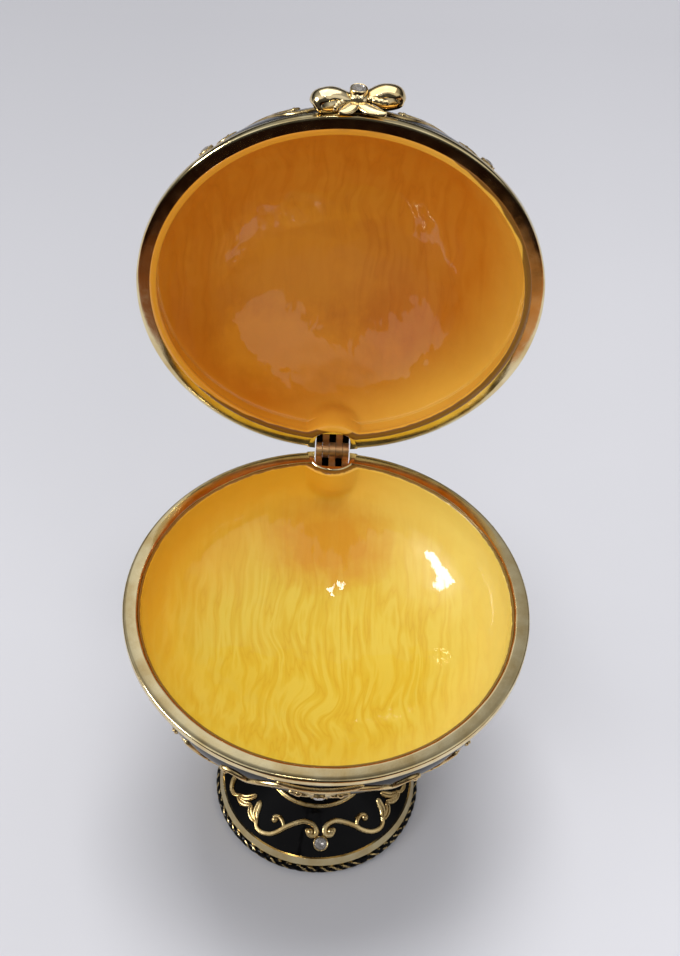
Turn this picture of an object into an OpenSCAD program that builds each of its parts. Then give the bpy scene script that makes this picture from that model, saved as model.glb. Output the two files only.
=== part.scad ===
// Hinged trinket box: a round enamelled box on a scrolled pedestal foot, lid open.
// The origin is the centre of the foot on the table, the hinge is at +Y.

/* [Lips] */
// Outer diameter of the two gold lips
lip_d = 60; // [54:0.5:76]
// Height of each lip
lip_h = 1.5; // [1.1:0.1:2.2]
// Width of the flat gold land on each lip
land_w = 2.3; // [2:0.1:3]
// Overhang of the lips beyond the enamel
lip_over = 1; // [0.6:0.1:1.3]
// Chamfer along the outer edges of the lips
lip_chamfer = 0.35; // [0.1:0.05:0.5]
// Height of the bowl's land above the table
rim_h = 51.5; // [49:0.5:66]
// Gap between the two lands with the lid closed
seam_gap = 0.2; // [0.1:0.05:0.4]

/* [Enamel] */
// Thickness of the black enamel outside
skin_t = 0.5; // [0.4:0.05:0.7]
// Thickness of the amber enamel inside
lining_t = 0.4; // [0.2:0.05:0.7]
// How far the edge of the lining lies below the land
lining_drop = 0.15; // [0.05:0.05:0.4]

/* [Bowl] */
// Depth of the bowl inside
bowl_in = 18.5; // [16.5:0.5:24]
// Shoulder radius inside the bowl
bowl_in_r = 13; // [9:0.5:15]
// Shoulder radius outside the bowl
bowl_out_r = 14.7; // [11:0.1:16]
// Metal thickness at the bottom of the bowl
bowl_floor = 2.1; // [1.6:0.1:3]

/* [Lid] */
// Depth of the lid inside
lid_in = 22.5; // [19:0.5:26]
// Height of the straight collar inside the lid
collar_h = 3; // [2:0.25:5]
// Step from the collar in to the dome
collar_step = 0.3; // [0.1:0.05:0.5]
// Shoulder radius outside the lid
lid_out_r = 10; // [7:0.5:13]
// Metal thickness at the top of the lid
lid_crown = 1; // [0.8:0.1:2]
// Angle that the open lid stands at
open_deg = 97; // [92:1:105]

/* [Hinge] */
// Length of the five knuckles together
hinge_l = 5.2; // [4.4:0.1:8]
// Diameter of the knuckles
knuckle_d = 2.5; // [2.1:0.1:2.8]
// Diameter of the hinge pin
pin_d = 0.9; // [0.6:0.1:1.2]
// Radial running clearance of the pin in the lid's knuckles
pin_clear = 0.05; // [0.02:0.01:0.1]
// Gap between neighbouring knuckles
knuckle_gap = 0.06; // [0.04:0.01:0.12]
// Distance of the pin's axis beyond the lips
pin_out = 0.1; // [0:0.1:1]
// Thickness of the hinge leaves
leaf_t = 1.2; // [0.9:0.1:1.4]
// How far the leaves reach in from the pin's axis
leaf_reach = 2; // [1.6:0.1:2.4]
// Width of the step in a leaf that the lid stops against
stop_in = 0.2; // [0.1:0.05:0.3]
// Depth of the hinge pockets below the lands
pocket_depth = 2.6; // [2.5:0.1:3.4]
// Clearance beside the leaves in the pockets
pocket_clear = 0.15; // [0.1:0.05:0.4]
// Wall of metal round the pockets
pocket_wall = 1.2; // [0.8:0.1:1.6]
// Clearance of the scrollwork round the hinge boss
boss_clear = 0.1; // [0.05:0.05:0.4]

/* [Foot] */
// Diameter of the gold band of the foot
foot_d = 32.8; // [30:0.2:44]
// Height of the foot
foot_h = 6.7; // [6.2:0.1:9]
// Height of the seat of the rope edge
rope_h = 1.4; // [1.2:0.1:1.8]
// Diameter of the rope edge's section
rope_d = 1.3; // [1:0.1:1.5]
// How far the seat of the rope edge lies inside the band
rope_in = 0.1; // [0.1:0.1:0.6]
// Height of the gold band above the rope edge
band_h = 1.6; // [1.2:0.1:2]
// Width of the gold band seen from above
band_w = 0.8; // [0.6:0.1:1.4]
// Diameter of the flat top of the foot
foot_top_d = 17.2; // [16.8:0.2:20]
// Depth of the enamel laid into the foot
foot_skin_t = 0.4; // [0.35:0.05:0.6]
// Turn of the foot under the bowl
foot_turn = 4; // [-15:1:15]

/* [Stem] */
// Diameter of the stem where it stands on the foot
stem_base_d = 15.2; // [13:0.2:15.4]
// Height of the plain flange below the trumpet
stem_flange_h = 1.4; // [1:0.1:2.5]
// Diameter of the neck
neck_d = 8.6; // [7.6:0.1:11]
// Height of the gold knop
knop_h = 3.5; // [2.5:0.1:4.5]
// How far the bead of the knop stands out
knop_bead = 1.6; // [1:0.1:1.7]
// Diameter of the section of the bead ring on the foot
ring_d = 1.1; // [0.8:0.1:1.3]
// Height of the cup from the knop to the bottom of the bowl
calyx_h = 8; // [6.5:0.1:9.5]
// Diameter of the cup under the bowl
calyx_d = 22; // [18:0.5:28]
// Thickness of the edge of the cup
calyx_edge = 1.1; // [0.8:0.1:2]
// Diameter of the tie rod through the stem
rod_d = 4; // [3:0.1:4.6]
// Radial clearance of the tie rod in the stem
rod_clear = 0.1; // [0.05:0.05:0.3]
// How far the tie rod is screwed into the foot
rod_in = 4.5; // [3:0.1:5.4]
// Gap left above the tip of the tie rod
rod_gap = 0.5; // [0.3:0.1:1]
// Diameter of the threaded boss under the bowl
boss_d = 7; // [6.4:0.2:7.4]
// Length of the threaded boss
boss_l = 4; // [3:0.1:5]

/* [Scrollwork] */
// Half width of a scroll strand on the foot
strand_w = 0.36; // [0.28:0.02:0.44]
// Height of a strand above the enamel
strand_h = 0.42; // [0.3:0.02:0.6]
// How far a strand is rooted in the enamel
strand_root = 0.12; // [0.08:0.02:0.2]
// Number of scroll units round the foot
foot_units = 3; // [3:1:4]
// Number of scroll units round the bowl and round the lid
body_units = 4; // [4:1:5]
// Height of the scroll belt on the bowl and on the lid
belt_h = 12.5; // [10:0.5:14]
// Distance of the scroll belt from the lips
belt_gap = 1; // [0.8:0.1:2]

/* [Stones] */
// Diameter of the cut stones
stone_d = 2; // [1.6:0.1:2.2]
// Wall of the collets round the stones
collet_wall = 0.25; // [0.2:0.05:0.35]
// How deep a collet is let into the enamel
collet_seat = 0.28; // [0.2:0.02:0.32]

/* [Bow] */
// Width of the bow over both loops
bow_w = 12; // [11:0.2:15]
// Depth of the loops from front to back
loop_d = 3; // [2.6:0.1:3.6]
// Thickness of the ribbon
ribbon_t = 0.6; // [0.5:0.05:0.8]
// Width of the ribbon
ribbon_w = 3.4; // [3:0.1:4.2]
// Height of the lower edge of the ribbon above the lid's land
bow_up = 1.9; // [1.7:0.1:3]
// How far the middle of the loops stands out from the lip
bow_out = 0.7; // [0.6:0.1:1.4]
// Length of the ribbon's tails
tail_l = 4.6; // [4:0.1:5.2]
// Width of the tails
tail_w = 1.5; // [1.2:0.1:1.8]
// Slant of the tails from the level
tail_deg = 36; // [25:1:40]
// Clearance of the tails in front of the lip
tail_clear = 0.12; // [0.1:0.02:0.3]
// Diameter of the knot
knot_d = 3.2; // [2.8:0.1:3.4]
// Diameter of the stud that holds the bow
stud_d = 1.4; // [1:0.1:1.8]
// How far the stud enters the lid's enamel and metal
stud_in = 1.1; // [0.8:0.1:1.3]
// Turn of the bow round the lid
bow_turn = 2; // [-8:1:8]

/* [Hidden] */
$fn = 72;

lip_r = lip_d / 2;
shell_r = lip_r - lip_over;
lining_r = lip_r - land_w;
metal_r = shell_r - skin_t;

// Depths below the lands, measured to the metal outside
bowl_out = bowl_in + lining_t + bowl_floor;
lid_out = lid_in + lining_t + lid_crown;
lid_base = rim_h + seam_gap;

pin_y = lip_r + pin_out;
pin_z = rim_h + seam_gap / 2;
knuckle = (hinge_l - 4 * knuckle_gap) / 5;
pocket_r = norm([hinge_l / 2 + pocket_clear, leaf_reach]);
pocket_out_r = pocket_r + pocket_wall;
pocket_h = pocket_depth + pocket_wall + 0.6;

foot_r = foot_d / 2;
field_r0 = foot_r - band_w;
field_r1 = foot_top_d / 2;
field_z0 = rope_h + band_h;
field_slope = (foot_h - field_z0) / (field_r0 - field_r1);
field_tilt = atan(field_slope);

// The stem is as long as the bowl, the cup, the knop and the foot leave it
bowl_bottom = rim_h - bowl_out;
calyx_z = bowl_bottom - calyx_h;
stem_z = calyx_z - knop_h;
stem_h = stem_z - foot_h;
neck_r = neck_d / 2;

collet_r = stone_d / 2 + collet_wall;
stone_crown = 0.22 * stone_d;
stone_deep = 0.2 * stone_d;
stone_lift = stone_deep + 0.12 - collet_seat;

knot_y = -(lip_r + bow_out);

// Strands of one half scroll unit: share of the half unit, share of the field's width
function main_strand() = [[0.13, 0.50], [0.18, 0.54], [0.13, 0.43], [0.06, 0.46], [0.06, 0.58],
    [0.13, 0.68], [0.24, 0.70], [0.36, 0.61], [0.46, 0.47], [0.52, 0.33], [0.60, 0.20],
    [0.70, 0.14], [0.78, 0.19], [0.82, 0.30]];
function tendril() = [[0.47, 0.44], [0.52, 0.55], [0.59, 0.60], [0.65, 0.56], [0.62, 0.49]];
function long_leaf() = [[0.81, 0.26], [0.88, 0.36], [0.92, 0.48], [0.95, 0.60]];
function short_leaf() = [[0.80, 0.22], [0.88, 0.24], [0.95, 0.30], [1, 0.40]];

// Crown radius of a dome of radius a and depth b whose shoulder has radius s
function crown(a, b, s) = ((a - s) * (a - s) + b * b - s * s) / (2 * (b - s));

// Angle at which the shoulder passes into the crown
function turn_angle(a, b, s) = atan2(crown(a, b, s) - b, a - s);

// Radius, depth and normal angle at a distance down the dome from its edge
function dome_at(a, b, s, d) =
    let (t = turn_angle(a, b, s), c = crown(a, b, s), edge = s * t * PI / 180)
    d < edge
        ? let (n = d / s * 180 / PI) [a - s + s * cos(n), s * sin(n), n]
        : let (n = t + (d - edge) / c * 180 / PI) [c * cos(n), b - c + c * sin(n), n];

// Point of the foot's enamel: angle from the front, share of the field, height above it
function foot_at(ang, q, up) =
    let (r = field_r0 + (field_r1 - field_r0) * q,
        z = field_z0 + (field_r0 - r) * field_slope,
        rr = r + up * sin(field_tilt))
    [rr * sin(ang), -rr * cos(ang), z + up * cos(field_tilt)];

// The same on the bowl, where the belt runs down from the lip
function bowl_at(ang, q, up) =
    let (p = dome_at(shell_r, bowl_out + skin_t - lip_h, bowl_out_r,
            belt_gap + belt_h * (0.86 - q)),
        r = p[0] + up * cos(p[2]))
    [r * sin(ang), -r * cos(ang), rim_h - lip_h - p[1] - up * sin(p[2])];

// The same on the closed lid, where the belt runs up from the lip
function lid_at(ang, q, up) =
    let (p = dome_at(shell_r, lid_out + skin_t - lip_h, lid_out_r, belt_gap + belt_h * q),
        r = p[0] + up * cos(p[2]))
    [r * sin(ang), -r * cos(ang), lid_base + lip_h + p[1] + up * sin(p[2])];

function on_field(kind, ang, q, up) =
    kind == "foot" ? foot_at(ang, q, up) : kind == "bowl" ? bowl_at(ang, q, up) : lid_at(ang, q, up);

// Smooth curve through a strand's points, two steps for each point
function pick(p, i) = p[min(max(i, 0), len(p) - 1)];
function spline(p, i, t) =
    let (a = pick(p, i - 1), b = pick(p, i), c = pick(p, i + 1), d = pick(p, i + 2))
    0.5 * (2 * b + (c - a) * t + (2 * a - 5 * b + 4 * c - d) * t * t
        + (3 * b - a - 3 * c + d) * t * t * t);
function smooth(p) = concat([for (i = [0 : len(p) - 2], t = [0, 0.5]) spline(p, i, t)],
    [p[len(p) - 1]]);

function unit(v) = v / norm(v);

// A strand laid on an enamel field: four points to a ring, flat on top, thin at its ends
module strand(kind, path, start, half, wide, thin) {
    line = smooth(path);
    n = len(line);
    rings = [for (i = [0 : n - 1])
        let (here = line[i],
            prev = line[max(i - 1, 0)],
            next = line[min(i + 1, n - 1)],
            foot = on_field(kind, start + half * here[0], here[1], 0),
            out = unit(on_field(kind, start + half * here[0], here[1], 1) - foot),
            along = unit(on_field(kind, start + half * next[0], next[1], 0)
                - on_field(kind, start + half * prev[0], prev[1], 0)),
            side = unit(cross(out, along)),
            w = wide * (thin + (1 - thin) * sin(180 * (0.12 + 0.76 * i / (n - 1)))))
        [foot - w * side - strand_root * out, foot - 0.55 * w * side + strand_h * out,
            foot + 0.55 * w * side + strand_h * out, foot + w * side - strand_root * out]];
    points = [for (r = rings) each r];
    walls = [for (i = [0 : n - 2], k = [0 : 3])
        [4 * i + k, 4 * i + (k + 1) % 4, 4 * i + 4 + (k + 1) % 4, 4 * i + 4 + k]];
    ends = [[3, 2, 1, 0], [4 * n - 4, 4 * n - 3, 4 * n - 2, 4 * n - 1]];
    polyhedron(points, concat(walls, ends), convexity = 6);
}

// Scroll units round a field, merged where the strands cross
module scrolls(kind, units, first, wide) {
    half = 180 / units;
    resize([0, 0, 0])
    union()
        for (k = [0 : units - 1], way = [1, -1]) {
            strand(kind, main_strand(), first + 2 * half * k, way * half, wide, 0.55);
            strand(kind, tendril(), first + 2 * half * k, way * half, 0.8 * wide, 0.6);
            strand(kind, long_leaf(), first + 2 * half * k, way * half, 1.2 * wide, 0.3);
            strand(kind, short_leaf(), first + 2 * half * k, way * half, 1.1 * wide, 0.4);
        }
}

// Stands its children on the enamel at each stone, with Z along the outward normal
module at_stones(kind, units, first) {
    for (k = [0 : units - 1]) {
        ang = first + 360 / units * k;
        foot = on_field(kind, ang, 0.28, 0);
        out = on_field(kind, ang, 0.28, 1) - foot;
        translate(foot)
            rotate([0, 0, ang - 90])
                rotate([0, acos(out[2] / norm(out)), 0])
                    children();
    }
}

module stone_outline() {
    polygon([[0, -stone_deep], [stone_d / 2, 0], [stone_d / 2, 0.1], [stone_d * 0.3, stone_crown],
        [0, stone_crown]]);
}

module stone() {
    translate([0, 0, stone_lift])
        rotate_extrude()
            stone_outline();
}

module collet() {
    difference() {
        translate([0, 0, -collet_seat])
            cylinder(r = collet_r, h = collet_seat + stone_lift + 0.08);
        translate([0, 0, stone_lift])
            rotate_extrude()
                union() {
                    stone_outline();
                    square([stone_d / 2, stone_d]);
                }
    }
}

module collet_hole() {
    translate([0, 0, -collet_seat])
        cylinder(r = collet_r, h = 3);
}

// Half section of a dome that hangs from the X axis
module dome_outline(a, b, s) {
    c = crown(a, b, s);
    x = c * (a - s) / (c - s);
    intersection() {
        translate([0, c - b])
            circle(c, $fn = 180);
        translate([0, -b - 1])
            square([x, b + 1]);
    }
    intersection() {
        translate([a - s, 0])
            circle(s, $fn = 120);
        translate([x, -b - 1])
            square([a - x + 1, b + 1]);
    }
}

// Half section of the lid's hollow, hung from the X axis: collar, then a plain cap
module hollow_outline(more) {
    cap_h = lid_in - collar_h;
    cap_r = lining_r - lining_t - collar_step;
    ball = (cap_r * cap_r + cap_h * cap_h) / (2 * cap_h);
    translate([0, -collar_h])
        square([lining_r - lining_t + more, collar_h]);
    intersection() {
        translate([0, ball - lid_in])
            circle(ball + more, $fn = 180);
        translate([0, -lid_in - 1])
            square([lining_r + 1, lid_in + 1 - collar_h]);
    }
}

module lip_outline() {
    polygon([[0, 0], [lip_r - lip_chamfer, 0], [lip_r, -lip_chamfer],
        [lip_r, lip_chamfer - lip_h], [lip_r - lip_chamfer, -lip_h], [0, -lip_h]]);
}

module above_land(r) {
    square([r, 1]);
}

// Turns closed lid parts to where the open lid stands
module opened() {
    translate([0, pin_y, pin_z])
        rotate([-open_deg, 0, 0])
            translate([0, -pin_y, -pin_z])
                children();
}

module on_bowl() {
    translate([0, 0, rim_h])
        children();
}

module on_lid() {
    translate([0, 0, lid_base])
        mirror([0, 0, 1])
            children();
}

// The boss and the pocket of the hinge, below a land at height zero
module hinge_boss() {
    intersection() {
        translate([0, pin_y, -pocket_h])
            cylinder(r = pocket_out_r, h = pocket_h);
        translate([0, 0, -pocket_h - 1])
            cylinder(r = lip_r, h = pocket_h + 2, $fn = 180);
    }
}

module hinge_boss_room(more) {
    translate([0, pin_y, -pocket_h - more])
        cylinder(r = pocket_out_r + more, h = pocket_h + more + 1);
}

module hinge_pocket() {
    translate([0, pin_y, -pocket_depth])
        cylinder(r = pocket_r, h = pocket_depth + 1);
}

// Knuckles of one leaf and the plate that carries them, for a land at height zero
module leaf(places, bore) {
    axis_z = seam_gap / 2;
    difference() {
        union() {
            translate([-hinge_l / 2, pin_y - leaf_reach, -pocket_depth])
                cube([hinge_l, leaf_reach - stop_in, leaf_t]);
            for (k = places) {
                x = -hinge_l / 2 + k * (knuckle + knuckle_gap);
                translate([x, pin_y - 1, -pocket_depth])
                    cube([knuckle, 1, pocket_depth + axis_z]);
                translate([x, pin_y, axis_z])
                    rotate([0, 90, 0])
                        cylinder(d = knuckle_d, h = knuckle);
            }
        }
        translate([-hinge_l, pin_y, axis_z])
            rotate([0, 90, 0])
                cylinder(d = bore, h = 2 * hinge_l);
    }
}

module foot_casting() {
    color("goldenrod")
    difference() {
        rotate_extrude()
            polygon([[0, 0], [foot_r - rope_in, 0], [foot_r - rope_in, rope_h], [foot_r, rope_h],
                [foot_r, rope_h + 0.3], [field_r0 + 0.3, field_z0], [field_r0, field_z0],
                [field_r0, field_z0 - foot_skin_t], [field_r1, foot_h - foot_skin_t],
                [field_r1, foot_h], [0, foot_h]]);
        translate([0, 0, foot_h - rod_in])
            cylinder(d = rod_d, h = rod_in + 1);
    }
}

module foot_rope_edge() {
    color("darkgoldenrod")
    rotate_extrude()
        difference() {
            translate([foot_r - rope_in + 0.1, rope_h / 2])
                circle(d = rope_d, $fn = 32);
            translate([0, -1])
                square([foot_r - rope_in, rope_h + 2]);
        }
}

module foot_enamel() {
    color("black")
    difference() {
        rotate_extrude()
            polygon([[field_r0, field_z0 - foot_skin_t], [field_r0, field_z0], [field_r1, foot_h],
                [field_r1, foot_h - foot_skin_t]]);
        at_stones("foot", foot_units, foot_turn)
            collet_hole();
    }
}

module foot_scrolls() {
    color("gold")
    scrolls("foot", foot_units, foot_turn, strand_w);
}

module foot_collets() {
    color("gold")
    at_stones("foot", foot_units, foot_turn)
        collet();
}

module foot_stones() {
    color("white")
    at_stones("foot", foot_units, foot_turn)
        stone();
}

module stem_ring() {
    color("gold")
    translate([0, 0, foot_h])
        rotate_extrude()
            difference() {
                translate([stem_base_d / 2 + 0.35 * ring_d, 0.35 * ring_d])
                    circle(d = ring_d, $fn = 32);
                translate([0, -2])
                    square([stem_base_d / 2, 5]);
                translate([0, -2])
                    square([foot_r, 2]);
            }
}

module stem() {
    rise = stem_h - stem_flange_h;
    run = stem_base_d / 2 - neck_r;
    sweep = (run * run + rise * rise) / (2 * run);
    color("black")
    translate([0, 0, foot_h])
        difference() {
            rotate_extrude()
                difference() {
                    square([stem_base_d / 2, stem_h]);
                    translate([neck_r + sweep, stem_h])
                        circle(sweep, $fn = 180);
                }
            translate([0, 0, -1])
                cylinder(d = rod_d + 2 * rod_clear, h = stem_h + 2);
        }
}

module stem_knop() {
    color("gold")
    translate([0, 0, stem_z])
        difference() {
            rotate_extrude()
                union() {
                    square([neck_r, knop_h]);
                    translate([neck_r, knop_h / 2])
                        circle(knop_bead, $fn = 48);
                }
            translate([0, 0, -1])
                cylinder(d = rod_d + 2 * rod_clear, h = knop_h + 2);
        }
}

module bowl_calyx() {
    c = crown(metal_r, bowl_out - lip_h, bowl_out_r - skin_t);
    r = calyx_d / 2;
    seat_z = rim_h - bowl_out + c - sqrt(c * c - r * r);
    flare = seat_z - calyx_edge - calyx_z;
    color("gold")
    difference() {
        rotate_extrude()
            difference() {
                translate([0, calyx_z])
                    square([r, seat_z - calyx_z + 1]);
                translate([neck_r + flare, calyx_z])
                    circle(flare, $fn = 120);
                translate([0, rim_h - lip_h])
                    dome_outline(metal_r, bowl_out - lip_h, bowl_out_r - skin_t);
            }
        translate([0, 0, calyx_z - 1])
            cylinder(d = rod_d + 2 * rod_clear, h = calyx_h + bowl_floor);
        translate([0, 0, bowl_bottom - boss_l])
            cylinder(d = boss_d, h = boss_l + bowl_floor);
    }
}

module tie_rod() {
    color("silver")
    translate([0, 0, foot_h - rod_in])
        cylinder(d = rod_d, h = bowl_bottom - rod_gap - foot_h + rod_in);
}

module bowl_casting() {
    color("goldenrod")
    difference() {
        union() {
            on_bowl()
                rotate_extrude()
                    difference() {
                        union() {
                            lip_outline();
                            translate([0, -lip_h])
                                dome_outline(metal_r, bowl_out - lip_h, bowl_out_r - skin_t);
                        }
                        dome_outline(lining_r, bowl_in + lining_t, bowl_in_r + lining_t);
                        above_land(lining_r);
                    }
            on_bowl()
                hinge_boss();
            translate([0, 0, bowl_bottom - boss_l])
                cylinder(d = boss_d, h = boss_l + bowl_floor / 2);
        }
        on_bowl()
            hinge_pocket();
        translate([0, 0, bowl_bottom - boss_l - 1])
            cylinder(d = rod_d, h = boss_l + 1);
    }
}

module bowl_lining() {
    color("orange")
    on_bowl()
        difference() {
            rotate_extrude()
                difference() {
                    dome_outline(lining_r, bowl_in + lining_t, bowl_in_r + lining_t);
                    dome_outline(lining_r - lining_t, bowl_in, bowl_in_r);
                    translate([0, -lining_drop])
                        square([lip_r, 1]);
                }
            hinge_boss_room(0);
        }
}

module bowl_enamel() {
    color("black")
    difference() {
        on_bowl()
            difference() {
                translate([0, 0, -lip_h])
                    rotate_extrude()
                        difference() {
                            dome_outline(shell_r, bowl_out - lip_h + skin_t, bowl_out_r);
                            dome_outline(metal_r, bowl_out - lip_h, bowl_out_r - skin_t);
                            translate([0, -bowl_out - 5])
                                square([calyx_d / 2, bowl_out + 5]);
                        }
                hinge_boss_room(0);
            }
        at_stones("bowl", body_units, 0)
            collet_hole();
    }
}

module bowl_scrolls() {
    color("gold")
    resize([0, 0, 0])
    difference() {
        scrolls("bowl", body_units, 0, 1.3 * strand_w);
        on_bowl()
            hinge_boss_room(boss_clear);
    }
}

module bowl_collets() {
    color("gold")
    at_stones("bowl", body_units, 0)
        collet();
}

module bowl_stones() {
    color("white")
    at_stones("bowl", body_units, 0)
        stone();
}

module hinge_lower_leaf() {
    color("peru")
    on_bowl()
        leaf([0, 2, 4], pin_d);
}

module hinge_pin() {
    color("peru")
    translate([-hinge_l / 2, pin_y, pin_z])
        rotate([0, 90, 0])
            cylinder(d = pin_d, h = hinge_l);
}

module hinge_upper_leaf() {
    bore = pin_d + 2 * pin_clear;
    heel = pocket_depth - leaf_t + 0.6;
    color("peru")
    difference() {
        union() {
            opened()
                on_lid()
                    leaf([1, 3], bore);
            for (k = [1, 3])
                translate([-hinge_l / 2 + k * (knuckle + knuckle_gap), pin_y - stop_in + 0.05,
                    pin_z - heel])
                    cube([knuckle, 0.75, heel - 0.7]);
        }
        translate([-hinge_l, pin_y, pin_z])
            rotate([0, 90, 0])
                cylinder(d = bore, h = 2 * hinge_l);
    }
}

module lid_casting() {
    color("goldenrod")
    opened()
        on_lid()
            difference() {
                union() {
                    rotate_extrude()
                        difference() {
                            union() {
                                lip_outline();
                                translate([0, -lip_h])
                                    dome_outline(metal_r, lid_out - lip_h, lid_out_r - skin_t);
                            }
                            hollow_outline(lining_t);
                            above_land(lining_r);
                        }
                    hinge_boss();
                }
                hinge_pocket();
                bow_stud(0);
            }
}

module lid_lining() {
    color("darkorange")
    opened()
        on_lid()
            difference() {
                rotate_extrude()
                    difference() {
                        hollow_outline(lining_t);
                        hollow_outline(0);
                        translate([0, -lining_drop])
                            square([lip_r, 1]);
                    }
                hinge_boss_room(0);
            }
}

module lid_enamel() {
    color("black")
    opened()
        difference() {
            on_lid()
                difference() {
                    translate([0, 0, -lip_h])
                        rotate_extrude()
                            difference() {
                                dome_outline(shell_r, lid_out - lip_h + skin_t, lid_out_r);
                                dome_outline(metal_r, lid_out - lip_h, lid_out_r - skin_t);
                            }
                    hinge_boss_room(0);
                    bow_stud(0);
                }
            at_stones("lid", body_units, 45)
                collet_hole();
        }
}

module lid_scrolls() {
    color("gold")
    opened()
        scrolls("lid", body_units, 45, 1.3 * strand_w);
}

module lid_collets() {
    color("gold")
    opened()
        at_stones("lid", body_units, 45)
            collet();
}

module lid_stones() {
    color("white")
    opened()
        at_stones("lid", body_units, 45)
            stone();
}

// The stud of the bow, below a land at height zero, as far as the knot's middle
module bow_stud(more) {
    rotate([0, 0, bow_turn])
        translate([0, -shell_r + stud_in, -bow_up - ribbon_w / 2])
            rotate([90, 0, 0])
                cylinder(d = stud_d + 2 * more, h = -knot_y - shell_r + stud_in);
}

// Body of one loop of the ribbon: a round end drawn to a point at the knot
module loop_body(w, d, h) {
    r = d / 2;
    union() {
        translate([w - r, 0, 0])
            cylinder(r = r, h = h, $fn = 48);
        linear_extrude(h)
            polygon([[0, 0], [w - r, 0.98 * r], [w - r, -0.98 * r]]);
    }
}

module bow_ribbon() {
    color("gold")
    opened()
        on_lid()
            rotate([0, 0, bow_turn])
                difference() {
                    translate([0, knot_y, -bow_up - ribbon_w])
                        for (side = [0, 1])
                            mirror([side, 0, 0])
                                ribbon_loop();
                    tail_strips();
                }
}

module ribbon_loop() {
    difference() {
        loop_body(bow_w / 2, loop_d, ribbon_w);
        translate([2 * ribbon_t, 0, -1])
            loop_body(bow_w / 2 - 3 * ribbon_t, loop_d - 2 * ribbon_t, ribbon_w + 2);
        translate([0, 0, -1])
            cylinder(d = knot_d, h = ribbon_w + 2);
    }
}

// Two strips with swallow ends that start behind the knot, in front of the lip
module tail_strips() {
    translate([0, -lip_r - tail_clear, -bow_up - ribbon_w / 2])
        rotate([90, 0, 0])
            linear_extrude(ribbon_t)
                for (side = [0, 1])
                    mirror([side, 0])
                        rotate(tail_deg)
                            polygon([[0, -tail_w / 2], [tail_l, -tail_w / 2],
                                [tail_l - tail_w / 2, 0], [tail_l, tail_w / 2],
                                [0, tail_w / 2]]);
}

module bow_knot() {
    color("gold")
    opened()
        on_lid()
            difference() {
                union() {
                    rotate([0, 0, bow_turn])
                        translate([0, knot_y, -bow_up - ribbon_w])
                            cylinder(d = knot_d, h = ribbon_w);
                    bow_stud(0);
                }
                bow_stone_seat()
                    collet_room();
            }
}

module bow_tails() {
    color("gold")
    opened()
        on_lid()
            rotate([0, 0, bow_turn])
                difference() {
                    tail_strips();
                    translate([0, knot_y, -bow_up - ribbon_w - 1])
                        cylinder(d = knot_d, h = ribbon_w + 2);
                }
}

// Places its children on the front of the knot, with Z outward
module bow_stone_seat() {
    rotate([0, 0, bow_turn])
        translate([0, knot_y - knot_d / 2, -bow_up - ribbon_w / 2])
            rotate([90, 0, 0])
                children();
}

module collet_room() {
    translate([0, 0, stone_lift - 0.5])
        rotate_extrude()
            union() {
                stone_outline();
                square([stone_d / 2, stone_d]);
            }
}

module bow_stone() {
    color("white")
    opened()
        on_lid()
            bow_stone_seat()
                translate([0, 0, -0.5])
                    stone();
}

foot_casting();
foot_rope_edge();
foot_enamel();
foot_scrolls();
foot_collets();
foot_stones();
stem_ring();
stem();
stem_knop();
bowl_calyx();
tie_rod();
bowl_casting();
bowl_lining();
bowl_enamel();
bowl_scrolls();
bowl_collets();
bowl_stones();
hinge_lower_leaf();
hinge_pin();
hinge_upper_leaf();
lid_casting();
lid_lining();
lid_enamel();
lid_scrolls();
lid_collets();
lid_stones();
bow_ribbon();
bow_tails();
bow_knot();
bow_stone();
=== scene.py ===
from math import asin, atan, atan2, cos, exp, hypot, pi, radians, sin, sqrt
import bmesh
import bpy
import numpy as np
from mathutils import Matrix, Vector, noise


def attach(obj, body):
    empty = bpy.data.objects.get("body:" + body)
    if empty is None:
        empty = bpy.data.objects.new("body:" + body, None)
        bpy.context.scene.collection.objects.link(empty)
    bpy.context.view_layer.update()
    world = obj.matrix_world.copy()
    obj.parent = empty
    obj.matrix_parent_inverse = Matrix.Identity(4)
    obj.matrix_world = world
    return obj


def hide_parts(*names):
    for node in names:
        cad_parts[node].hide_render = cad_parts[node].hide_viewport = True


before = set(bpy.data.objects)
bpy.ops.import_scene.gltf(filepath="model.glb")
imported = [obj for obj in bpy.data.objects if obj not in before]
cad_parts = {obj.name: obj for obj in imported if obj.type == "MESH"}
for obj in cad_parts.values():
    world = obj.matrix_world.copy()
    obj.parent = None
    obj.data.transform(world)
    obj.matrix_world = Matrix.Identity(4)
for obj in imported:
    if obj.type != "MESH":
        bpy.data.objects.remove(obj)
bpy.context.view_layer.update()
print("frame loaded:", len(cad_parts), "nodes")

mm = 0.001

# sizes shared by the pieces, in mm, as the CAD model has them
box = dict(lipH=1.5, rimZ=51.5, lidBase=51.7, pinY=30.1, pinZ=51.6, openDeg=97.0)
pinAt = Vector((0, box["pinY"], box["pinZ"])) * mm
lidPlace = (Matrix.Translation(pinAt) @ Matrix.Rotation(radians(-box["openDeg"]), 4, "X")
            @ Matrix.Translation(-pinAt) @ Matrix.Translation((0, 0, box["lidBase"] * mm)))


def lin(r, g, b):
    # a colour as the eye reads it, 0 to 255, in Blender's linear numbers
    return tuple(((v / 255 + 0.055) / 1.055) ** 2.4 if v > 10 else v / 255 / 12.92 for v in (r, g, b)) + (1.0,)


def ripple(points, size, seed):
    # soft lumps of the given size in mm, from -1 to 1
    shift = Vector((seed * 7.3, seed * 3.1, seed * 5.7))
    return np.array([noise.noise(Vector(p) / size + shift) for p in points])


def evenAngles(count):
    return np.linspace(0, 2 * np.pi, count, endpoint=False)


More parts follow.
